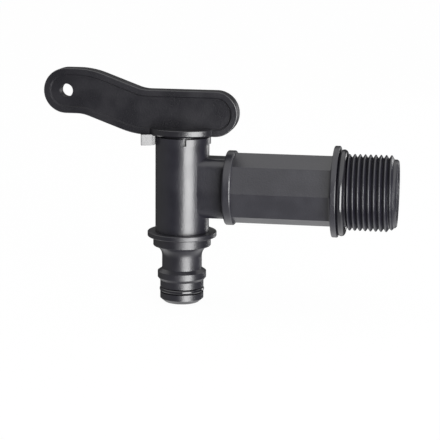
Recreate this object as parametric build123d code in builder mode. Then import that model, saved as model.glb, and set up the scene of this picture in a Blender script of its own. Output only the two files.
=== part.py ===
from build123d import *

import os
from math import radians, tan

# A plastic tap for a water tank, turned by a flat lever. The threaded inlet screws into the tank, a hollow
# plug on the lever's underside turns in the upright barrel, and a hose pushes onto the nipple below.
# Millimetres. The origin is the centre of the flange's sealing face, +X runs along the inlet into the tank
# and +Z is up. The lever lies along the inlet's line, which is the open position.

# Overall places
REACH = 52.1  # from the spout's axis to the flange's sealing face
SPOUT_X = -REACH
MATCH = 1e-6  # edges within this of a radius or a place count as on it

# Barrel, the upright tube that the plug turns in
BARREL_R = 8.9
BARREL_WALL = 2.0
BARREL_TOP = 16.6  # above the inlet's axis
BARREL_FOOT = 15.05  # below the inlet's axis
SEAT_DEPTH = 4.45  # from the barrel's foot up to the shoulder, where the bore widens for the nipple
SEAT_WALL = 1.0  # barrel's wall round the nipple's seat
BORE_R = BARREL_R - BARREL_WALL
SEAT_R = BARREL_R - SEAT_WALL
SHOULDER_Z = -BARREL_FOOT + SEAT_DEPTH

# Stop ledge, a low ring round the barrel's top that the lever's lug strikes at both ends of its travel
LEDGE_PROUD = 0.5
LEDGE_HEIGHT = 2.2
TRAVEL = 90.0  # degrees from open to shut
TOOTH_HALF_ANGLE = 18.0  # the lug's inner part, which meets the ledge
STOP_GAP_ANGLE = 0.5  # left between tooth and ledge at each end
NOTCH_ANGLE = 6.5  # a shallow notch in the barrel where the ledge's front end begins
NOTCH_DEPTH = 1.3

# Side duct from the barrel to the round collar
DUCT_HALF_WIDTH = 6.4
DUCT_HALF_HEIGHT = 9.95
DUCT_CORNER = 3.3
DUCT_WALL = 1.9
PORT_R = 4.0

# Collar, eight-sided body and flange along the inlet
COLLAR_R = 12.3
COLLAR_START = 15.1  # from the spout's axis
COLLAR_WIDTH = 2.8
COLLAR_EDGE = 0.5
OCTAGON_R = 11.7  # to its corners, one of which points straight up
FLANGE_R = 14.95
FLANGE_WIDTH = 1.85
FLANGE_EDGE = 0.3
FLANGE_FILLET = 1.0

# Inlet beyond the flange: the core that carries the thread, then a plain lip
INLET_LENGTH = 19.0
INLET_BORE_R = 9.5
THREAD_CORE_R = 11.4
LIP_R = 11.15
LIP_LENGTH = 2.1
LIP_CHAMFER = 0.5
BORE_STOP = 1.0  # the wide bore ends this far into the eight-sided body

# Plug, the hollow part that turns in the barrel
PLUG_CLEARANCE = 0.06
PLUG_BORE_R = 4.2
PLUG_ROOF = 3.2  # from the plug's cavity up to the disc
PLUG_ROOF_FILLET = 2.0
PLUG_RING_HEIGHT = 8.0  # both seal rings, above and below the inlet's axis
FINGER_LIP = 0.65  # how far the snap fingers spread past the bore
FINGER_LENGTH = 1.6  # from the hooks' upper faces to the fingers' tips
FINGER_ROOT = 2.9  # length of the slots between the fingers
FINGER_SLOT = 1.6
SHOULDER_GAP = 0.1  # between the fingers' hooks and the barrel's shoulder

# Seal rings inside
PLUG_CORD = 1.25
SEAT_CORD = 1.1
RING_CLEARANCE = 0.03
GROOVE_SPARE = 0.3  # groove width beyond the cord

# Seal over the port, on the plug's side
SEAL_INNER_R = PORT_R + 0.1
SEAL_OUTER_R = SEAL_INNER_R + 1.3
SEAL_THICKNESS = 1.2

# Lever: blade, disc and stop lug
BLADE_HALF_HEIGHT = 7.4
BLADE_DEPTH = 5.9
WEB_DEPTH = 4.3
RIM_WIDTH = 1.9
RIM_STEP = 0.45  # how far the recess narrows on its way down to the web
DISC_SEAM = 0.4  # between the barrel's top and the underside of blade and disc
BLADE_FOOT = BARREL_TOP + DISC_SEAM
BLADE_RISE = 6.4  # the grip's centre line above the hub's
TAIL_X = 11.2  # centre of the blade's round end past the spout's axis
GRIP_X = 38.7  # centre of the grip's round end before the spout's axis
GRIP_LENGTH = 15.8  # from the grip's round end to the middle of the sloping stretch
BEND_ANGLE = 20.0
BEND_RADIUS = 19.0
GRIP_HOLE_R = 2.25
RIM_EDGE = 0.3
DISC_HALF_LENGTH = 11.0  # the disc is oval, longer along the blade
DISC_HALF_DEPTH = 8.3
DISC_THICKNESS = 2.3  # nearly up to the foot of the blade's web, so it takes the rim's place there
DISC_EDGE = 0.25
DISC_CHAMFER = 0.5
LUG_HALF_ANGLE = 22.0
LUG_OUTER_R = 13.7
LUG_INNER_R = 10.3
LUG_DROP = 3.3
LUG_ROOT = 0.3  # how far the lug reaches up into blade and disc
TOOTH_CLEARANCE = 0.15

# Outlet nipple, pushed into the barrel's foot
NIPPLE_R = 7.25
NIPPLE_BORE_R = 4.6
NIPPLE_TIP_R = 5.7
NIPPLE_TIP_LENGTH = 1.3
SEAM = 0.08  # between the barrel's foot and the nipple's flange
NIPPLE_FLANGE_R = 11.5
NIPPLE_FLANGE_WIDTH = 1.65
NIPPLE_COLLAR_R = 9.6
NIPPLE_COLLAR_LENGTH = 3.15
FLARE_STEP = 0.7  # how far the flare starts inside the collar
FLARE_LENGTH = 3.6
NECK_R = 6.65
NECK_LENGTH = 4.15
LOCK_RING_R = 8.1
LOCK_RING_WIDTH = 2.0
LOCK_RING_SLOPE = 1.0
BELOW_LOCK_LENGTH = 7.42  # from the lock ring's foot to the nipple's end
NIPPLE_EDGE = 0.3
SPIGOT_CLEARANCE = 0.03
SPIGOT_GAP = 0.2  # left above the spigot, under the plug's fingers
HOSE_CORD = 1.6
HOSE_RING_PROUD = 0.21
HOSE_RING_DROP = 3.17  # from the lock ring's foot down to the seal ring's middle

# Inlet seal ring, a loose ring that hangs on the thread's core against the flange
INLET_CORD = 2.4
INLET_RING_SAG = 0.3
INLET_RING_GAP = 0.05


def spout_plane(height):
    """Level plane across the spout's axis, at a height above the inlet's axis."""
    return Plane((SPOUT_X, 0, height))


def inlet_plane(from_spout):
    """Upright plane across the inlet's axis, at a distance from the spout's axis."""
    return Plane(origin=(SPOUT_X + from_spout, 0, 0), x_dir=(0, 1, 0), z_dir=(1, 0, 0))


def rims(part, radius):
    """The part's round edges of one radius."""
    return part.edges().filter_by(GeomType.CIRCLE).filter_by(lambda edge: abs(edge.radius - radius) < MATCH)


def sector(inner_r, outer_r, start, end):
    """Sector of a ring round the origin, between two radii and two angles in degrees."""
    with BuildSketch(Plane.XY, mode=Mode.PRIVATE) as ring_sector:
        with BuildLine():
            outer = CenterArc((0, 0), outer_r, start, end - start)
            inner = CenterArc((0, 0), inner_r, start, end - start)
            Line(outer @ 0, inner @ 0)
            Line(outer @ 1, inner @ 1)
        make_face()
    return ring_sector.sketch


# The plane that holds the spout's axis, for profiles that are turned round it
SPOUT_PROFILE = Plane(origin=(SPOUT_X, 0, 0), x_dir=(1, 0, 0), z_dir=(0, -1, 0))
SPOUT_AXIS = Axis((SPOUT_X, 0, 0), (0, 0, 1))


# Tap body, one moulding
ledge_back = 180 - TOOTH_HALF_ANGLE - STOP_GAP_ANGLE
ledge_front = -180 + TOOTH_HALF_ANGLE + TRAVEL + STOP_GAP_ANGLE
collar_end = COLLAR_START + COLLAR_WIDTH
flange_start = REACH - FLANGE_WIDTH

with BuildPart() as tap_body:
    # Upright barrel
    with BuildSketch(spout_plane(-BARREL_FOOT)):
        Circle(BARREL_R)
    extrude(amount=BARREL_FOOT + BARREL_TOP)
    # Stop ledge, a ring with the lug's free sector left out
    with BuildSketch(spout_plane(BARREL_TOP - LEDGE_HEIGHT)):
        with BuildLine():
            ledge_r = BARREL_R + LEDGE_PROUD
            outer = CenterArc((0, 0), ledge_r, ledge_front, ledge_back - ledge_front)
            Line(outer @ 1, (0, 0))
            Line((0, 0), outer @ 0)
        make_face()
    extrude(amount=LEDGE_HEIGHT)
    # Notch beside the ledge's front end
    with BuildSketch(spout_plane(BARREL_TOP - LEDGE_HEIGHT)):
        add(sector(BARREL_R - NOTCH_DEPTH, ledge_r, ledge_front - NOTCH_ANGLE, ledge_front))
    extrude(amount=LEDGE_HEIGHT, mode=Mode.SUBTRACT)
    # Side duct with rounded corners
    with BuildSketch(inlet_plane(0)):
        RectangleRounded(2 * DUCT_HALF_WIDTH, 2 * DUCT_HALF_HEIGHT, DUCT_CORNER)
    extrude(amount=COLLAR_START + COLLAR_WIDTH / 2)
    # Round collar
    with BuildSketch(inlet_plane(COLLAR_START)):
        Circle(COLLAR_R)
    extrude(amount=COLLAR_WIDTH)
    fillet(rims(tap_body, COLLAR_R), COLLAR_EDGE)
    # Eight-sided body with a corner up
    with BuildSketch(inlet_plane(COLLAR_START + COLLAR_WIDTH / 2)):
        RegularPolygon(OCTAGON_R, 8, rotation=90)
    extrude(amount=flange_start - COLLAR_START - COLLAR_WIDTH / 2)
    # Flange
    with BuildSketch(inlet_plane(flange_start)):
        Circle(FLANGE_R)
    extrude(amount=FLANGE_WIDTH)
    flange_face_x = SPOUT_X + flange_start
    flats_end = tap_body.edges().filter_by(GeomType.LINE).filter_by_position(
        Axis.X, flange_face_x - MATCH, flange_face_x + MATCH
    )
    fillet(flats_end, FLANGE_FILLET)
    fillet(rims(tap_body, FLANGE_R), FLANGE_EDGE)
    # Core that carries the thread, and the plain lip at its end
    with BuildSketch(inlet_plane(REACH)):
        Circle(THREAD_CORE_R)
    extrude(amount=INLET_LENGTH - LIP_LENGTH)
    with BuildSketch(inlet_plane(REACH + INLET_LENGTH - LIP_LENGTH)):
        Circle(LIP_R)
    extrude(amount=LIP_LENGTH)
    chamfer(tap_body.faces().sort_by(Axis.X)[-1].edges(), LIP_CHAMFER)
    # Waterway: wide bore, duct passage, round port
    with BuildSketch(inlet_plane(collar_end + BORE_STOP)):
        Circle(INLET_BORE_R)
    extrude(amount=REACH + INLET_LENGTH, mode=Mode.SUBTRACT)
    with BuildSketch(inlet_plane(BARREL_R)):
        RectangleRounded(
            2 * (DUCT_HALF_WIDTH - DUCT_WALL), 2 * (DUCT_HALF_HEIGHT - DUCT_WALL), DUCT_CORNER - DUCT_WALL
        )
    extrude(amount=collar_end + BORE_STOP - BARREL_R, mode=Mode.SUBTRACT)
    with BuildSketch(inlet_plane(0)):
        Circle(PORT_R)
    extrude(amount=BARREL_R, mode=Mode.SUBTRACT)
    # Barrel's bore, and the wider seat for the nipple below its shoulder
    with BuildSketch(spout_plane(SHOULDER_Z)):
        Circle(BORE_R)
    extrude(amount=BARREL_TOP - SHOULDER_Z, mode=Mode.SUBTRACT)
    with BuildSketch(spout_plane(-BARREL_FOOT)):
        Circle(SEAT_R)
    extrude(amount=SEAT_DEPTH, mode=Mode.SUBTRACT)
tap_body.part.label = "tap_body"


# Lever with its disc, stop lug and hollow plug, one moulding
hub_z = BLADE_FOOT + BLADE_HALF_HEIGHT
grip_z = hub_z + BLADE_RISE
slope_half = BLADE_RISE / tan(radians(BEND_ANGLE)) / 2
bend_x = -GRIP_X + GRIP_LENGTH
blade_points = [
    (-GRIP_X, grip_z),
    (bend_x - slope_half, grip_z),
    (bend_x + slope_half, hub_z),
    (TAIL_X, hub_z),
]
plug_r = BORE_R - PLUG_CLEARANCE
ring_centre_r = BORE_R - RING_CLEARANCE - PLUG_CORD / 2
groove_r = ring_centre_r - PLUG_CORD / 2 - RING_CLEARANCE
finger_r = BORE_R + FINGER_LIP
finger_top = SHOULDER_Z - SHOULDER_GAP
finger_tip = finger_top - FINGER_LENGTH
seal_floor_r = BORE_R - RING_CLEARANCE - SEAL_THICKNESS


def blade_outline(half_height):
    """Closed outline at one distance all round the blade's S-shaped centre line."""
    with BuildSketch(Plane.XY, mode=Mode.PRIVATE) as outline:
        with BuildLine():
            spine = FilletPolyline(*blade_points, radius=BEND_RADIUS, mode=Mode.PRIVATE)
            offset(spine, amount=half_height, side=Side.BOTH, kind=Kind.ARC)
        make_face()
    return outline.sketch


# Space for the port's seal: a ring on the side of the plug that faces the inlet while the tap is shut
with BuildPart() as seal_pocket:
    with BuildSketch(SPOUT_PROFILE):
        Circle(SEAL_OUTER_R + RING_CLEARANCE)
        Circle(SEAL_INNER_R - RING_CLEARANCE, mode=Mode.SUBTRACT)
    extrude(amount=BARREL_R)
    with BuildSketch(spout_plane(-BARREL_R)):
        Circle(BARREL_R)
        Circle(seal_floor_r - RING_CLEARANCE, mode=Mode.SUBTRACT)
    extrude(amount=2 * BARREL_R, mode=Mode.INTERSECT)

# Oval disc under the blade
with BuildPart() as disc:
    with BuildSketch(spout_plane(BLADE_FOOT)):
        Ellipse(DISC_HALF_LENGTH, DISC_HALF_DEPTH)
    extrude(amount=DISC_THICKNESS)
    chamfer(disc.faces().sort_by(Axis.Z)[0].edges(), DISC_CHAMFER)
    fillet(disc.faces().sort_by(Axis.Z)[-1].edges(), DISC_EDGE)

with BuildPart() as lever:
    # Blade: a full plate, then a recess with sloping sides sunk into each face
    with BuildSketch(SPOUT_PROFILE):
        add(blade_outline(BLADE_HALF_HEIGHT))
    extrude(amount=BLADE_DEPTH / 2, both=True)
    fillet(lever.edges().filter_by(Plane.XZ), RIM_EDGE)
    recess_depth = (BLADE_DEPTH - WEB_DEPTH) / 2
    for side in (1, -1):
        with BuildSketch(SPOUT_PROFILE.offset(side * BLADE_DEPTH / 2)):
            add(blade_outline(BLADE_HALF_HEIGHT - RIM_WIDTH))
        with BuildSketch(SPOUT_PROFILE.offset(side * WEB_DEPTH / 2)):
            add(blade_outline(BLADE_HALF_HEIGHT - RIM_WIDTH - RIM_STEP))
        loft(ruled=True, mode=Mode.SUBTRACT)
    with BuildSketch(SPOUT_PROFILE):
        with Locations((-GRIP_X, grip_z)):
            Circle(GRIP_HOLE_R)
    extrude(amount=BLADE_DEPTH, both=True, mode=Mode.SUBTRACT)
    add(disc.part)
    # Stop lug that hangs beside the barrel on the grip's side, with the tooth that meets the ledge inside it
    tooth_r = BARREL_R + TOOTH_CLEARANCE
    with BuildSketch(spout_plane(BLADE_FOOT - LUG_DROP)):
        add(sector(LUG_INNER_R, LUG_OUTER_R, 180 - LUG_HALF_ANGLE, 180 + LUG_HALF_ANGLE))
        add(sector(tooth_r, LUG_OUTER_R, 180 - TOOTH_HALF_ANGLE, 180 + TOOTH_HALF_ANGLE))
    extrude(amount=LUG_DROP + LUG_ROOT)
    # Plug: a turned profile with two seal grooves and hooked fingers at its foot
    with BuildSketch(SPOUT_PROFILE):
        with BuildLine():
            half_groove = (PLUG_CORD + GROOVE_SPARE) / 2
            Polyline(
                (0, BLADE_FOOT + DISC_THICKNESS / 2),
                (plug_r, BLADE_FOOT + DISC_THICKNESS / 2),
                (plug_r, PLUG_RING_HEIGHT + half_groove),
                (groove_r, PLUG_RING_HEIGHT + half_groove),
                (groove_r, PLUG_RING_HEIGHT - half_groove),
                (plug_r, PLUG_RING_HEIGHT - half_groove),
                (plug_r, -PLUG_RING_HEIGHT + half_groove),
                (groove_r, -PLUG_RING_HEIGHT + half_groove),
                (groove_r, -PLUG_RING_HEIGHT - half_groove),
                (plug_r, -PLUG_RING_HEIGHT - half_groove),
                (plug_r, finger_top),
                (finger_r, finger_top),
                (finger_r, (finger_top + finger_tip) / 2),
                (groove_r, finger_tip),
                (0, finger_tip),
                (0, BLADE_FOOT + DISC_THICKNESS / 2),
            )
        make_face()
    revolve(axis=SPOUT_AXIS)
    # Cavity with a rounded roof, open below
    cavity_top = BLADE_FOOT - PLUG_ROOF
    with BuildSketch(SPOUT_PROFILE):
        with BuildLine():
            Line((0, finger_tip), (PLUG_BORE_R, finger_tip))
            Line((PLUG_BORE_R, finger_tip), (PLUG_BORE_R, cavity_top - PLUG_ROOF_FILLET))
            RadiusArc(
                (PLUG_BORE_R, cavity_top - PLUG_ROOF_FILLET),
                (PLUG_BORE_R - PLUG_ROOF_FILLET, cavity_top),
                -PLUG_ROOF_FILLET,
            )
            Line((PLUG_BORE_R - PLUG_ROOF_FILLET, cavity_top), (0, cavity_top))
            Line((0, cavity_top), (0, finger_tip))
        make_face()
    revolve(axis=SPOUT_AXIS, mode=Mode.SUBTRACT)
    # Port that faces the inlet while the tap is open
    with BuildSketch(inlet_plane(0)):
        Circle(PORT_R)
    extrude(amount=plug_r + PLUG_CLEARANCE, mode=Mode.SUBTRACT)
    # Slots that part the snap fingers
    with BuildSketch(spout_plane(finger_tip)):
        Rectangle(2 * SEAT_R, FINGER_SLOT)
        Rectangle(FINGER_SLOT, 2 * SEAT_R)
    extrude(amount=FINGER_ROOT, mode=Mode.SUBTRACT)
    # Pocket for the port's seal
    add(seal_pocket.part, mode=Mode.SUBTRACT)
lever.part.label = "lever"


# Seal rings on the plug, in its two grooves
with BuildPart() as upper_plug_o_ring:
    with BuildSketch(SPOUT_PROFILE):
        with Locations((ring_centre_r, PLUG_RING_HEIGHT)):
            Circle(PLUG_CORD / 2)
    revolve(axis=SPOUT_AXIS)
upper_plug_o_ring.part.label = "upper_plug_o_ring"

with BuildPart() as lower_plug_o_ring:
    with BuildSketch(SPOUT_PROFILE):
        with Locations((ring_centre_r, -PLUG_RING_HEIGHT)):
            Circle(PLUG_CORD / 2)
    revolve(axis=SPOUT_AXIS)
lower_plug_o_ring.part.label = "lower_plug_o_ring"


# Seal that covers the port while the tap is shut: a rubber ring curved like the barrel's bore
with BuildPart() as port_seal:
    with BuildSketch(SPOUT_PROFILE):
        Circle(SEAL_OUTER_R)
        Circle(SEAL_INNER_R, mode=Mode.SUBTRACT)
    extrude(amount=BARREL_R)
    with BuildSketch(spout_plane(-BARREL_R)):
        Circle(BORE_R - RING_CLEARANCE)
        Circle(seal_floor_r, mode=Mode.SUBTRACT)
    extrude(amount=2 * BARREL_R, mode=Mode.INTERSECT)
port_seal.part.label = "port_seal"


# Outlet nipple, turned round the spout's axis: its profile goes down the outside and comes back up the bore
spigot_r = SEAT_R - SPIGOT_CLEARANCE
spigot_top = finger_tip - SPIGOT_GAP
flange_top = -BARREL_FOOT - SEAM
nipple_flange_foot = flange_top - NIPPLE_FLANGE_WIDTH
nipple_collar_foot = nipple_flange_foot - NIPPLE_COLLAR_LENGTH
flare_r = NIPPLE_COLLAR_R - FLARE_STEP
neck_top = nipple_collar_foot - FLARE_LENGTH
neck_foot = neck_top - NECK_LENGTH
lock_top = neck_foot - LOCK_RING_SLOPE
lock_foot = lock_top - LOCK_RING_WIDTH
lock_slope_foot = lock_foot - LOCK_RING_SLOPE
nipple_end = lock_slope_foot - BELOW_LOCK_LENGTH
seat_ring_z = (spigot_top + flange_top) / 2
seat_ring_r = SEAT_R - RING_CLEARANCE - SEAT_CORD / 2
seat_groove_r = seat_ring_r - SEAT_CORD / 2 - RING_CLEARANCE
seat_groove_half = (SEAT_CORD + GROOVE_SPARE) / 2
hose_ring_r = NIPPLE_R + HOSE_RING_PROUD - HOSE_CORD / 2
hose_ring_z = lock_slope_foot - HOSE_RING_DROP
hose_groove_r = hose_ring_r - HOSE_CORD / 2 - RING_CLEARANCE
hose_groove_half = (HOSE_CORD + GROOVE_SPARE) / 2

with BuildPart() as outlet_nipple:
    with BuildSketch(SPOUT_PROFILE):
        with BuildLine():
            Polyline(
                (NIPPLE_BORE_R, spigot_top),
                (spigot_r, spigot_top),
                (spigot_r, seat_ring_z + seat_groove_half),
                (seat_groove_r, seat_ring_z + seat_groove_half),
                (seat_groove_r, seat_ring_z - seat_groove_half),
                (spigot_r, seat_ring_z - seat_groove_half),
                (spigot_r, flange_top),
                (NIPPLE_FLANGE_R, flange_top),
                (NIPPLE_FLANGE_R, nipple_flange_foot),
                (NIPPLE_COLLAR_R, nipple_flange_foot),
                (NIPPLE_COLLAR_R, nipple_collar_foot),
                (flare_r, nipple_collar_foot),
            )
            TangentArc((NECK_R, neck_top), (flare_r, nipple_collar_foot), tangent=(0, 1))
            Polyline(
                (NECK_R, neck_top),
                (NECK_R, neck_foot),
                (LOCK_RING_R, lock_top),
                (LOCK_RING_R, lock_foot),
                (NIPPLE_R, lock_slope_foot),
                (NIPPLE_R, hose_ring_z + hose_groove_half),
                (hose_groove_r, hose_ring_z + hose_groove_half),
                (hose_groove_r, hose_ring_z - hose_groove_half),
                (NIPPLE_R, hose_ring_z - hose_groove_half),
                (NIPPLE_R, nipple_end + NIPPLE_TIP_LENGTH),
                (NIPPLE_TIP_R, nipple_end),
                (NIPPLE_BORE_R, nipple_end),
                (NIPPLE_BORE_R, spigot_top),
            )
        make_face()
    revolve(axis=SPOUT_AXIS)
    fillet(rims(outlet_nipple, NIPPLE_FLANGE_R), NIPPLE_EDGE)
    fillet(rims(outlet_nipple, NIPPLE_COLLAR_R).sort_by(Axis.Z)[0], NIPPLE_EDGE)
outlet_nipple.part.label = "outlet_nipple"

with BuildPart() as nipple_seat_o_ring:
    with BuildSketch(SPOUT_PROFILE):
        with Locations((seat_ring_r, seat_ring_z)):
            Circle(SEAT_CORD / 2)
    revolve(axis=SPOUT_AXIS)
nipple_seat_o_ring.part.label = "nipple_seat_o_ring"

with BuildPart() as nipple_o_ring:
    with BuildSketch(SPOUT_PROFILE):
        with Locations((hose_ring_r, hose_ring_z)):
            Circle(HOSE_CORD / 2)
    revolve(axis=SPOUT_AXIS)
nipple_o_ring.part.label = "nipple_o_ring"


# Inlet seal ring, which hangs on the thread's core and so sits a little below the inlet's axis
inlet_ring_r = THREAD_CORE_R + INLET_RING_SAG + INLET_RING_GAP + INLET_CORD / 2
with BuildPart() as inlet_o_ring:
    with BuildSketch(Plane.XZ):
        with Locations((INLET_CORD / 2, inlet_ring_r - INLET_RING_SAG)):
            Circle(INLET_CORD / 2)
    revolve(axis=Axis((0, 0, -INLET_RING_SAG), (1, 0, 0)))
inlet_o_ring.part.label = "inlet_o_ring"


os.makedirs("parts", exist_ok=True)
for piece in (
    tap_body,
    lever,
    upper_plug_o_ring,
    lower_plug_o_ring,
    port_seal,
    outlet_nipple,
    nipple_seat_o_ring,
    nipple_o_ring,
    inlet_o_ring,
):
    export_step(piece.part, f"parts/{piece.part.label}.step")
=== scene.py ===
# %% [markdown]
# A black plastic tap for a water tank, seen in a small white studio. Its solids come ready made and to size
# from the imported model. This lesson gives them what a solid model lacks: the screw thread, the finish of
# moulded plastic and of rubber, and the light. Everything is in metres. X runs along the inlet into the
# tank, Z is up, and the origin is the centre of the flange's sealing face.

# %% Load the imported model
from math import cos, pi, radians, sin, tan

import bpy
import numpy as np
from mathutils import Matrix, Vector


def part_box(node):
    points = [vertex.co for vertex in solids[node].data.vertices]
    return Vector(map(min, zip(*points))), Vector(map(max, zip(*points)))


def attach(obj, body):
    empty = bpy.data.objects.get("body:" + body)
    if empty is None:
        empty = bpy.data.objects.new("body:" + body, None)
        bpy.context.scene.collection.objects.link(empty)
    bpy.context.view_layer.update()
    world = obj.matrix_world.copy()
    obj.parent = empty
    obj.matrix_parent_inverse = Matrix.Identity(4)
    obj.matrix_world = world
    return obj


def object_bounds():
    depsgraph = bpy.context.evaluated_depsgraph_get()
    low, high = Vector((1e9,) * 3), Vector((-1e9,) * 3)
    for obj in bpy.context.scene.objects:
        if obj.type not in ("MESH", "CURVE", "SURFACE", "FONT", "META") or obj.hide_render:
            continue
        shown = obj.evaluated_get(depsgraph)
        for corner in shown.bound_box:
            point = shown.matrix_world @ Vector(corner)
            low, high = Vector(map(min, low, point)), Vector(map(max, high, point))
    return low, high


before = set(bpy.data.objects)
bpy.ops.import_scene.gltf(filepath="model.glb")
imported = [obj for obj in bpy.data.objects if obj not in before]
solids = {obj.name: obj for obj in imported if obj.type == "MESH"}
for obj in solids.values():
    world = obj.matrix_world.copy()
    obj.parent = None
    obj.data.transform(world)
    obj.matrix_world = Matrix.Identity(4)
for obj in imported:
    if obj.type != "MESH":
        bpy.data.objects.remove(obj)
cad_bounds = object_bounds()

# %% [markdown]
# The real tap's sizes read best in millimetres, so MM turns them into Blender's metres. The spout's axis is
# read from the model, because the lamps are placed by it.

MM = 0.001
spout_x = sum(corner.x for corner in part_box("outlet_nipple")) / 2
print("spout's axis at x =", round(spout_x / MM, 2), "mm; solids:", ", ".join(sorted(solids)))

# %% [markdown]
# The camera stands where the photographer's stood. Its place was worked out from edges whose real sizes are
# known: half a metre away, nine degrees round to the threaded end and eleven degrees above it. A long lens
# keeps the inlet from tapering much. The lens is given as its focal length over the picture's width,
# because that share is what the photograph fixes.

# %% Camera
SENSOR_WIDTH = 36.0
FOCAL_SHARE = 3.476
CAMERA_PLACE = Vector((42.03, -489.90, 89.18)) * MM
CAMERA_DOWN = 11.41
CAMERA_ROUND = 9.43
CAMERA_TILT = 0.53
NEAREST_SEEN = 0.01

camera_data = bpy.data.cameras.new("studio_camera")
camera_data.sensor_width = SENSOR_WIDTH
camera_data.lens = SENSOR_WIDTH * FOCAL_SHARE
camera_data.clip_start = NEAREST_SEEN
camera = bpy.data.objects.new("studio_camera", camera_data)
camera.location = CAMERA_PLACE
turn = Matrix.Rotation(radians(CAMERA_ROUND), 3, "Z")
nod = Matrix.Rotation(radians(90 - CAMERA_DOWN), 3, "X")
tilt = Matrix.Rotation(radians(CAMERA_TILT), 3, "Z")
camera.rotation_euler = (turn @ nod @ tilt).to_euler()
bpy.context.scene.collection.objects.link(camera)
bpy.context.scene.camera = camera
print("lens", round(camera_data.lens, 1), "mm")

# %% [markdown]
# A surface here is a grid of points: one direction of the grid runs along the piece, the other round its
# cross-section. Blender could also sweep a curve with a bevel object, but a thread's cross-section has to
# stay square to the inlet's axis and shrink to nothing at both ends, and a formula gives that exactly. One
# helper turns any such grid into a mesh, closes it round the section and puts a cap on each end.

# %% Grid to mesh
def closed_sweep(name, points):
    """Mesh of a closed section carried along a path.

    points has the shape (along, round, 3). Each face joins neighbours in both directions, the section
    closes on itself, and the first and last sections are closed by one flat face each. Faces point outwards
    when the section runs anticlockwise, as seen by someone who looks along the path.
    """
    along, around, _ = points.shape
    step = np.arange(along - 1)[:, None] * around
    here = np.arange(around)[None, :]
    after = (here + 1) % around
    quads = np.stack([step + here, step + around + here, step + around + after, step + after], axis=-1)
    first = np.arange(around)
    last = np.arange(around)[::-1] + (along - 1) * around
    faces = quads.reshape(-1, 4).tolist() + [first.tolist(), last.tolist()]
    mesh = bpy.data.meshes.new(name)
    mesh.from_pydata(points.reshape(-1, 3).tolist(), [], faces)
    mesh.polygons.foreach_set("use_smooth", np.ones(len(faces), dtype=bool))
    mesh.update()
    piece = bpy.data.objects.new(name, mesh)
    bpy.context.scene.collection.objects.link(piece)
    return piece


# %% [markdown]
# The thread is a pipe thread of about fifteen turns to the inch, moulded on the inlet's outside. On the
# real tap it is one with the inlet. The solid model holds only the core, because a helical ridge makes a
# heavy solid. It could be a displaced cylinder or a screw modifier. Here the outline of the ridge is
# carried along a helix, so its flanks, crest and run-out at each end all have a real size. The crest is
# round, as moulded plastic is, and the flanks of two turns meet in a sharp valley. It runs right-handed, so
# it moves towards the tank as it comes down the side that faces the camera.

# %% Thread's sizes, in millimetres and degrees
PITCH = 1.70
CREST_RADIUS = 12.5
ROOT_RADIUS = 11.4
FOOT_RADIUS = 11.0
FLANK_ANGLE = 32.5
CREST_BEND = 0.26
TOP_CREST_X = 3.0
FIRST_X, LAST_X = 2.75, 17.9
RUN_IN, RUN_OUT = 0.25, 1.1
END_SHARE, END_WIDTH = 0.02, 0.4
STEPS_PER_TURN = 120
CREST_POINTS = 11


# %% Thread's ridge
def ridge_section():
    """Closed outline of the ridge as offsets along the inlet and shares of its height.

    The crest is an arc of a circle. It turns to each side until it runs into a straight flank, which leans
    FLANK_ANGLE from square to the axis and goes down to the root. From there the outline drops into the
    core.
    """
    height = CREST_RADIUS - ROOT_RADIUS
    turned = np.radians(np.linspace(FLANK_ANGLE - 90, 90 - FLANK_ANGLE, CREST_POINTS))
    drop = CREST_BEND * (1 - np.cos(turned))
    crest = np.stack([CREST_BEND * np.sin(turned), 1 - drop / height], axis=1)
    half_foot = crest[-1, 0] + (height - drop[-1]) * tan(radians(FLANK_ANGLE))
    sunk = (FOOT_RADIUS - ROOT_RADIUS) / height
    left = [[-half_foot, sunk], [-half_foot, 0]]
    right = [[half_foot, 0], [half_foot, sunk]]
    return np.concatenate([left, crest, right])


def thread_ridge():
    """Ridge as points of the shape (along, round, 3).

    The angle grows from +Y over +Z. The middle of the section moves along X by one pitch for each turn and
    passes the top at TOP_CREST_X. The height grows from nothing over the run-in and falls to nothing over
    the run-out, in a smooth step, and the width goes with it from END_WIDTH to the whole.
    """
    turns = (LAST_X - FIRST_X) / PITCH
    middle = np.linspace(FIRST_X, LAST_X, int(turns * STEPS_PER_TURN) + 1)
    angle = pi / 2 + 2 * pi * (middle - TOP_CREST_X) / PITCH
    grown = np.clip(np.minimum((middle - FIRST_X) / RUN_IN, (LAST_X - middle) / RUN_OUT), END_SHARE, 1)
    share = grown * grown * (3 - 2 * grown)
    section = ridge_section()
    width = END_WIDTH + (1 - END_WIDTH) * share
    along = middle[:, None] + section[None, :, 0] * width[:, None]
    rise = np.where(section[None, :, 1] > 0, section[None, :, 1] * share[:, None], section[None, :, 1])
    radius = ROOT_RADIUS + (CREST_RADIUS - ROOT_RADIUS) * rise
    points = np.stack([along, radius * np.cos(angle)[:, None], radius * np.sin(angle)[:, None]], axis=-1)
    return points * MM


ridge = closed_sweep("inlet_thread_ridge", thread_ridge())
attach(ridge, "tap")
print("thread: a foot of", round(2 * ridge_section()[-1, 0], 2), "mm,", len(ridge.data.polygons), "faces")

# %% [markdown]
# Materials are trees of nodes. Three effects turn up in more than one finish, so each is built once as a
# group with named sockets and placed where it is wanted. The finishes turn Object coordinates into
# millimetres before they hand them to a group, so a grain of 0.5 is half a millimetre on the real tap.

# %% Node helpers
def add_node(tree, kind, inputs=None, **settings):
    """One node of a tree, with its settings and its unlinked inputs filled in."""
    made = tree.nodes.new(kind)
    for name, value in settings.items():
        setattr(made, name, value)
    for name, value in (inputs or {}).items():
        made.inputs[name].default_value = value
    return made


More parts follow.
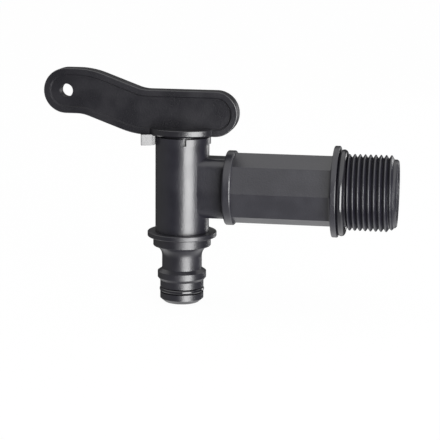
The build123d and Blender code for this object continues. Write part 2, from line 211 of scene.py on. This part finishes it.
def new_group(name, inputs, outputs):
    """Empty node group and its two end nodes. An input of None is a vector, all else are numbers."""
    tree = bpy.data.node_groups.new(name, "ShaderNodeTree")
    for label, value in inputs.items():
        kind = "NodeSocketVector" if value is None else "NodeSocketFloat"
        socket = tree.interface.new_socket(name=label, in_out="INPUT", socket_type=kind)
        if value is not None:
            socket.default_value = value
    for label in outputs:
        tree.interface.new_socket(name=label, in_out="OUTPUT", socket_type="NodeSocketFloat")
    return tree, tree.nodes.new("NodeGroupInput"), tree.nodes.new("NodeGroupOutput")


def math_node(tree, operation, first, second=None):
    """Math node whose operands are sockets or numbers. Returns its output."""
    made = add_node(tree, "ShaderNodeMath", operation=operation)
    for index, operand in enumerate((first, second)):
        if isinstance(operand, bpy.types.NodeSocket):
            tree.links.new(operand, made.inputs[index])
        elif operand is not None:
            made.inputs[index].default_value = operand
    return made.outputs[0]


def ramp(tree, value, low, high, to_low=0.0, to_high=1.0):
    """Value moved from the range low..high to the range to_low..to_high in a smooth step."""
    made = add_node(
        tree,
        "ShaderNodeMapRange",
        {"From Min": low, "From Max": high, "To Min": to_low, "To Max": to_high},
        interpolation_type="SMOOTHSTEP",
    )
    tree.links.new(value, made.inputs["Value"])
    return made.outputs["Result"]


def noise_of_size(tree, place, size, **character):
    """Noise whose features are as large as the socket size says, at the place given by a socket."""
    made = add_node(tree, "ShaderNodeTexNoise", character)
    tree.links.new(place, made.inputs["Vector"])
    tree.links.new(math_node(tree, "DIVIDE", 1.0, size), made.inputs["Scale"])
    return made.outputs["Fac"]


# %% [markdown]
# Moulded black plastic isn't perfectly smooth. The mould is cut by spark erosion, which leaves fine pits of
# about half a millimetre, and the plastic cools unevenly, which leaves broad soft patches of more and less
# gloss. A noise at each of the two sizes gives both. The first becomes height for a bump, the second a
# mask.

# %% Group: spark-eroded grain
PATCH_FROM, PATCH_FULL = 0.3, 0.7

grain_tree, grain_in, grain_out = new_group(
    "spark_eroded_grain", {"Place": None, "Grain": 0.3, "Patch": 9.0}, ["Height", "Patches"]
)
pits = noise_of_size(
    grain_tree, grain_in.outputs["Place"], grain_in.outputs["Grain"], Detail=3.0, Roughness=0.6
)
cooling = noise_of_size(
    grain_tree, grain_in.outputs["Place"], grain_in.outputs["Patch"], Detail=2.0, Roughness=0.5
)
grain_tree.links.new(pits, grain_out.inputs["Height"])
grain_tree.links.new(ramp(grain_tree, cooling, PATCH_FROM, PATCH_FULL), grain_out.inputs["Patches"])
print("grain group:", len(grain_tree.nodes), "nodes")

# %% [markdown]
# Where the two halves of a mould meet, the plastic creeps into the joint and leaves a fine raised line. It
# runs all round the piece in the plane where the mould opens. The group takes the distance from that plane
# and gives a narrow ridge for the bump.

# %% Group: parting line
FLAT_TOP = 0.4  # share of the line's half width that is at full height

line_tree, line_in, line_out = new_group("parting_line", {"Distance": 0.0, "Width": 0.12}, ["Ridge"])
away = math_node(line_tree, "ABSOLUTE", line_in.outputs["Distance"])
share_of_width = math_node(line_tree, "DIVIDE", away, line_in.outputs["Width"])
line_tree.links.new(ramp(line_tree, share_of_width, FLAT_TOP, 1.0, 1.0, 0.0), line_out.inputs["Ridge"])
print("parting line group:", len(line_tree.nodes), "nodes")

# %% [markdown]
# Handling leaves a few pale specks and a little dust, most of it where a face looks up. It is very faint on
# new goods, but without it black plastic looks computed. Small cells of noise above a high limit give
# specks, and the face's own direction keeps most of them on top.

# %% Group: dust
SPECK_FROM, SPECK_FULL = 0.6, 0.74
LEVEL_FROM, LEVEL_FULL = -0.4, 1.0
SHARE_BELOW = 0.15

dust_tree, dust_in, dust_out = new_group("dust", {"Place": None, "Speck": 0.25, "Amount": 0.5}, ["Mask"])
cells = noise_of_size(
    dust_tree, dust_in.outputs["Place"], dust_in.outputs["Speck"], Detail=4.0, Roughness=0.75
)
specks = ramp(dust_tree, cells, SPECK_FROM, SPECK_FULL)
facing = add_node(dust_tree, "ShaderNodeNewGeometry")
parts = add_node(dust_tree, "ShaderNodeSeparateXYZ")
dust_tree.links.new(facing.outputs["Normal"], parts.inputs[0])
upward = ramp(dust_tree, parts.outputs["Z"], LEVEL_FROM, LEVEL_FULL, SHARE_BELOW, 1.0)
lying = math_node(dust_tree, "MULTIPLY", specks, upward)
amount = math_node(dust_tree, "MULTIPLY", lying, dust_in.outputs["Amount"])
dust_tree.links.new(amount, dust_out.inputs["Mask"])
print("dust group:", len(dust_tree.nodes), "nodes")

# %% [markdown]
# All finishes of this tap are one recipe with different amounts, so one function builds them. The colour
# moves a little between a dark and a light tone with the broad patches and gets the dust on top. Roughness
# follows the patches too. The grain and the parting line add up to one height, which a bump node turns into
# slopes. The numbers that are the same all over a piece are set on the shader's own sockets. The skin of
# this plastic mirrors a lamp more strongly than plain plastic does, so its IOR and specular level are high.

# %% Recipe for a moulded finish
DUST_COLOUR = (0.30, 0.29, 0.30, 1)
SKIN_IOR = 1.7
SKIN_SHINE = 1.0
PARTING_HEIGHT = 0.05


def moulded_finish(name, dark, light, gloss, grain, dust, parting=True):
    """Material of moulded plastic or rubber.

    dark and light are the two tones, gloss is the lowest and highest roughness, grain is the grain's size
    and height in millimetres, dust is the share of pale specks, and parting says whether the piece has a
    mould line in the plane y = 0.
    """
    material = bpy.data.materials.new(name)
    material.use_nodes = True
    tree = material.node_tree
    shader = tree.nodes["Principled BSDF"]
    shader.inputs["Specular IOR Level"].default_value = SKIN_SHINE
    shader.inputs["IOR"].default_value = SKIN_IOR
    where = add_node(tree, "ShaderNodeTexCoord")
    place = add_node(tree, "ShaderNodeVectorMath", {"Scale": 1 / MM}, operation="SCALE")
    tree.links.new(where.outputs["Object"], place.inputs[0])
    millimetres = place.outputs[0]

    eroded = add_node(tree, "ShaderNodeGroup", node_tree=grain_tree)
    eroded.inputs["Grain"].default_value = grain[0]
    tree.links.new(millimetres, eroded.inputs["Place"])
    patches = eroded.outputs["Patches"]
    tone = add_node(tree, "ShaderNodeMix", {"A": (*dark, 1), "B": (*light, 1)}, data_type="RGBA")
    tree.links.new(patches, tone.inputs["Factor"])
    tree.links.new(ramp(tree, patches, 0.0, 1.0, *gloss), shader.inputs["Roughness"])

    dusting = add_node(tree, "ShaderNodeGroup", node_tree=dust_tree)
    dusting.inputs["Amount"].default_value = dust
    tree.links.new(millimetres, dusting.inputs["Place"])
    dusty = add_node(tree, "ShaderNodeMix", {"B": DUST_COLOUR}, data_type="RGBA")
    tree.links.new(dusting.outputs["Mask"], dusty.inputs["Factor"])
    tree.links.new(tone.outputs["Result"], dusty.inputs["A"])
    tree.links.new(dusty.outputs["Result"], shader.inputs["Base Color"])

    height = math_node(tree, "MULTIPLY", eroded.outputs["Height"], grain[1])
    if parting:
        apart = add_node(tree, "ShaderNodeSeparateXYZ")
        tree.links.new(millimetres, apart.inputs[0])
        line = add_node(tree, "ShaderNodeGroup", node_tree=line_tree)
        tree.links.new(apart.outputs["Y"], line.inputs["Distance"])
        raised = math_node(tree, "MULTIPLY", line.outputs["Ridge"], PARTING_HEIGHT)
        height = math_node(tree, "ADD", height, raised)
    bump = add_node(tree, "ShaderNodeBump", {"Strength": 1.0, "Distance": MM})
    tree.links.new(height, bump.inputs["Height"])
    tree.links.new(bump.outputs["Normal"], shader.inputs["Normal"])
    return material


def finish(names, material):
    """Puts one material on the named solids, in place of the plain one that they came with."""
    for name in names:
        for place in solids[name].material_slots:
            place.material = material
    print(material.name, "on", ", ".join(names))


# %% [markdown]
# The body, thread and nipple are charcoal plastic with a violet cast. The lever is a shade darker, and the
# nipple a little duller. Rubber is blacker and has finer grain. The two rings that show are new and a
# little oily, so they are glossier than the seals inside, which stay dull.

# %% Plastics and rubbers
body_finish = moulded_finish(
    "body_plastic",
    dark=(0.013, 0.0125, 0.020), light=(0.017, 0.0163, 0.0255),
    gloss=(0.29, 0.36), grain=(0.56, 0.054), dust=0.3,
)
lever_finish = moulded_finish(
    "lever_plastic",
    dark=(0.0125, 0.012, 0.0165), light=(0.0165, 0.0156, 0.021),
    gloss=(0.27, 0.33), grain=(0.56, 0.054), dust=0.3,
)
nipple_finish = moulded_finish(
    "nipple_plastic",
    dark=(0.0125, 0.012, 0.018), light=(0.0165, 0.0158, 0.0235),
    gloss=(0.34, 0.41), grain=(0.50, 0.034), dust=0.25,
)
ring_finish = moulded_finish(
    "ring_rubber",
    dark=(0.010, 0.0095, 0.014), light=(0.014, 0.0135, 0.019),
    gloss=(0.17, 0.23), grain=(0.18, 0.003), dust=0.2, parting=False,
)
seal_finish = moulded_finish(
    "seal_rubber",
    dark=(0.010, 0.010, 0.010), light=(0.016, 0.016, 0.016),
    gloss=(0.55, 0.70), grain=(0.15, 0.006), dust=0.3, parting=False,
)
finish(["tap_body"], body_finish)
finish(["lever"], lever_finish)
finish(["outlet_nipple"], nipple_finish)
finish(["inlet_o_ring", "nipple_o_ring"], ring_finish)
finish(["upper_plug_o_ring", "lower_plug_o_ring", "port_seal", "nipple_seat_o_ring"], seal_finish)
ridge.data.materials.append(body_finish)

# %% [markdown]
# The studio is a table of white acrylic in a white room. Product photographers light such a table from
# below to lose the shadow under a small black thing. The nipple's end stands on it. To the camera the table
# is white, mixed with a little of the light that falls on it, so a soft shadow stays. To the tap it glows
# softly, most of all just behind it. The table lets the low lamp shine through it. The glossy plastic
# doesn't mirror it: the lower half of the room stands in for it there, and the lamp's reflection stays free
# of noise.

# %% Table
TABLE_HALF = 4.0
TABLE_COLOUR = (0.92, 0.92, 0.92, 1)
TABLE_ROUGHNESS = 0.9
TABLE_SHINE = 0.1
TABLE_OWN_WHITE = 0.92
TABLE_GLARE = 1.04
GLOW_NEAR, GLOW_FAR = 0.04, 0.125
GLOW_BRIGHT, GLOW_DIM = 0.75, 0.08
GLOW_RIGHT, GLOW_BEHIND = 0.015, 0.045
TAP_MIDDLE = Vector((spout_x / 2, 0, 0))
table_z = cad_bounds[0].z


def level_sheet(name, half, height):
    """Square level sheet from four corners."""
    mesh = bpy.data.meshes.new(name)
    corners = [(-half, -half, height), (half, -half, height), (half, half, height), (-half, half, height)]
    mesh.from_pydata(corners, [], [(0, 1, 2, 3)])
    sheet = bpy.data.objects.new(name, mesh)
    bpy.context.scene.collection.objects.link(sheet)
    return sheet


table = level_sheet("studio_table", TABLE_HALF, table_z)
table.visible_shadow = False
table.visible_glossy = False
table_finish = bpy.data.materials.new("studio_table")
table_finish.use_nodes = True
table_tree = table_finish.node_tree
table_shader = table_tree.nodes["Principled BSDF"]
table_shader.inputs["Base Color"].default_value = TABLE_COLOUR
table_shader.inputs["Roughness"].default_value = TABLE_ROUGHNESS
table_shader.inputs["Specular IOR Level"].default_value = TABLE_SHINE
spot = add_node(table_tree, "ShaderNodeTexCoord")
from_middle = add_node(table_tree, "ShaderNodeVectorMath", operation="DISTANCE")
from_middle.inputs[1].default_value = (GLOW_RIGHT, GLOW_BEHIND, table_z)
table_tree.links.new(spot.outputs["Object"], from_middle.inputs[0])
shine = ramp(table_tree, from_middle.outputs["Value"], GLOW_NEAR, GLOW_FAR, GLOW_BRIGHT, GLOW_DIM)
glow = add_node(table_tree, "ShaderNodeEmission", {"Color": (1, 1, 1, 1)})
table_tree.links.new(shine, glow.inputs["Strength"])
white = add_node(table_tree, "ShaderNodeEmission", {"Color": (1, 1, 1, 1), "Strength": TABLE_GLARE})
seen = add_node(table_tree, "ShaderNodeLightPath")
to_camera = add_node(table_tree, "ShaderNodeMixShader", {0: TABLE_OWN_WHITE})
table_tree.links.new(table_shader.outputs[0], to_camera.inputs[1])
table_tree.links.new(white.outputs[0], to_camera.inputs[2])
either = add_node(table_tree, "ShaderNodeMixShader")
table_tree.links.new(seen.outputs["Is Camera Ray"], either.inputs[0])
table_tree.links.new(glow.outputs[0], either.inputs[1])
table_tree.links.new(to_camera.outputs[0], either.inputs[2])
table_tree.links.new(either.outputs[0], table_tree.nodes["Material Output"].inputs["Surface"])
table.data.materials.append(table_finish)
print("table at z =", round(table_z / MM, 1), "mm")

# %% [markdown]
# The room is the world. To the camera it is white. To the tap its ceiling gives a broad even light, and it
# is dim near the horizon, so upright faces have something dark to mirror. Below the horizon it stands in
# for the table: dim in front and bright behind. A faint wall on the left keeps the barrel's shaded side
# from going black. Each part is a smooth ramp over one direction of the heading in which a ray leaves.

# %% World
CEILING_LIGHT, HORIZON_LIGHT = 0.60, 0.045
CEILING_FROM, CEILING_FULL = 0.28, 0.66
BELOW_FROM, BELOW_FULL = 0.35, 0.70
BELOW_FRONT, BELOW_BACK = 0.19, 0.85
FRONT_Y, BACK_Y = -0.6, 0.7
WALL_FROM, WALL_FULL = 0.45, 0.95
LEFT_WALL = 0.11

world = bpy.data.worlds.new("white_room")
bpy.context.scene.world = world
world.use_nodes = True
room = world.node_tree
backing = room.nodes["Background"]
backing.inputs["Color"].default_value = (1, 1, 1, 1)
sight = add_node(room, "ShaderNodeTexCoord")
heading = add_node(room, "ShaderNodeSeparateXYZ")
room.links.new(sight.outputs["Generated"], heading.inputs[0])
ceiling = ramp(room, heading.outputs["Z"], CEILING_FROM, CEILING_FULL, HORIZON_LIGHT, CEILING_LIGHT)
downwards = math_node(room, "MULTIPLY", heading.outputs["Z"], -1.0)
front_to_back = ramp(room, heading.outputs["Y"], FRONT_Y, BACK_Y, BELOW_FRONT, BELOW_BACK)
below = math_node(room, "MULTIPLY", ramp(room, downwards, BELOW_FROM, BELOW_FULL), front_to_back)
leftwards = math_node(room, "MULTIPLY", heading.outputs["X"], -1.0)
wall = ramp(room, leftwards, WALL_FROM, WALL_FULL, 0.0, LEFT_WALL)
strength = math_node(room, "ADD", ceiling, math_node(room, "ADD", below, wall))
room_seen = add_node(room, "ShaderNodeLightPath")
shown = math_node(room, "MAXIMUM", strength, room_seen.outputs["Is Camera Ray"])
room.links.new(shown, backing.inputs["Strength"])
print("room:", CEILING_LIGHT, "above,", HORIZON_LIGHT, "level,", BELOW_BACK, "below and behind")

# %% [markdown]
# Two soft boxes shape it. One beside the camera, tall and low enough to shine through the table, draws the
# broad bright band down the barrel. One behind on the right draws the thin edge of light. Each is placed by
# how far round from the camera and how far up it stands, as a photographer would say it. A lamp's power
# follows from its brightness and its area.

# %% Lamps
def soft_box(name, round_from_camera, up, distance, size, brightness):
    """Area lamp aimed at the tap. Its power is its brightness times pi times its area."""
    lamp_data = bpy.data.lights.new(name, "AREA")
    lamp_data.shape = "RECTANGLE"
    lamp_data.size, lamp_data.size_y = size
    lamp_data.energy = brightness * pi * size[0] * size[1]
    lamp = bpy.data.objects.new(name, lamp_data)
    turned = radians(CAMERA_ROUND + round_from_camera)
    rise = radians(up)
    out = Vector((sin(turned) * cos(rise), -cos(turned) * cos(rise), sin(rise)))
    lamp.location = TAP_MIDDLE + out * distance
    lamp.rotation_euler = out.to_track_quat("Z", "Y").to_euler()
    lamp.visible_camera = False
    bpy.context.scene.collection.objects.link(lamp)
    print(name, round(lamp_data.energy, 2), "W")


soft_box("box_beside_camera", round_from_camera=26.5, up=-6, distance=0.6, size=(0.48, 0.70), brightness=5.0)
soft_box("box_behind_right", round_from_camera=140, up=0, distance=0.6, size=(0.15, 0.30), brightness=3.0)

# %% [markdown]
# Blender's usual view transform bends bright tones, as film does. Standard shows each colour as it is
# written, which is what a reusable part needs.

# %% Colours as written
bpy.context.scene.view_settings.view_transform = "Standard"
print("view transform:", bpy.context.scene.view_settings.view_transform)
